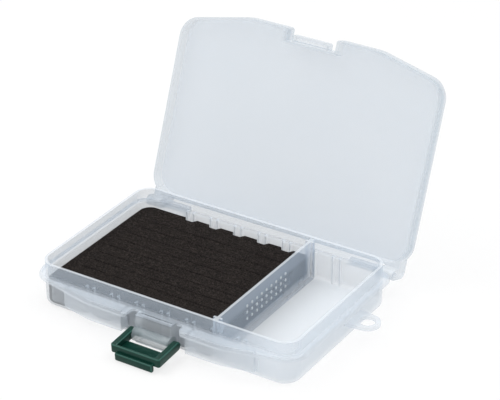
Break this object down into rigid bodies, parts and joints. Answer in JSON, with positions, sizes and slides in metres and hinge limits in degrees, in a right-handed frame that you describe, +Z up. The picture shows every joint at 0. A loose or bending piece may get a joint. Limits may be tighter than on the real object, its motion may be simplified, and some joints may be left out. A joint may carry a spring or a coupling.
{
  "type": "fly box",
  "caption": "Shallow frosted pocket box with a snap-hinged lid, a swinging front latch, a lift-out divider, a slit foam pad and a lanyard eye.",
  "frame": {"origin": "centre of the tray's flat bottom face, on the surface it rests on", "axes": "+X to the right along the long front side as seen from the front, +Y from the front (latch) to the back (hinge), +Z up"},
  "size_m": [0.1564, 0.1614, 0.1043],
  "materials": {
    "frosted_polypropylene": "fine frosted, translucent",
    "frosted_polypropylene_lid": "fine frosted, translucent",
    "dark_green_polypropylene": "satin moulded",
    "frosted_polypropylene_divider": "fine frosted, translucent",
    "slit_foam": "closed-cell foam, matt, slit"
  },
  "bodies": {
    "base": {"base_tray": "frosted_polypropylene", "divider": "frosted_polypropylene_divider", "foam_pad": "slit_foam"},
    "lid": {"lid": "frosted_polypropylene_lid"},
    "latch": {"latch": "dark_green_polypropylene"}
  },
  "joints": [
    {"name": "lid_hinge", "type": "hinge", "parent": "base", "child": "lid", "pos_m": [0, 0.0483, 0.012], "axis": [-1, 0, 0], "range_deg": [-111, 0]},
    {"name": "latch_hinge", "type": "hinge", "parent": "base", "child": "latch", "pos_m": [0, -0.05, 0.0063], "axis": [1, 0, 0], "range_deg": [-94, 0]}
  ]
}
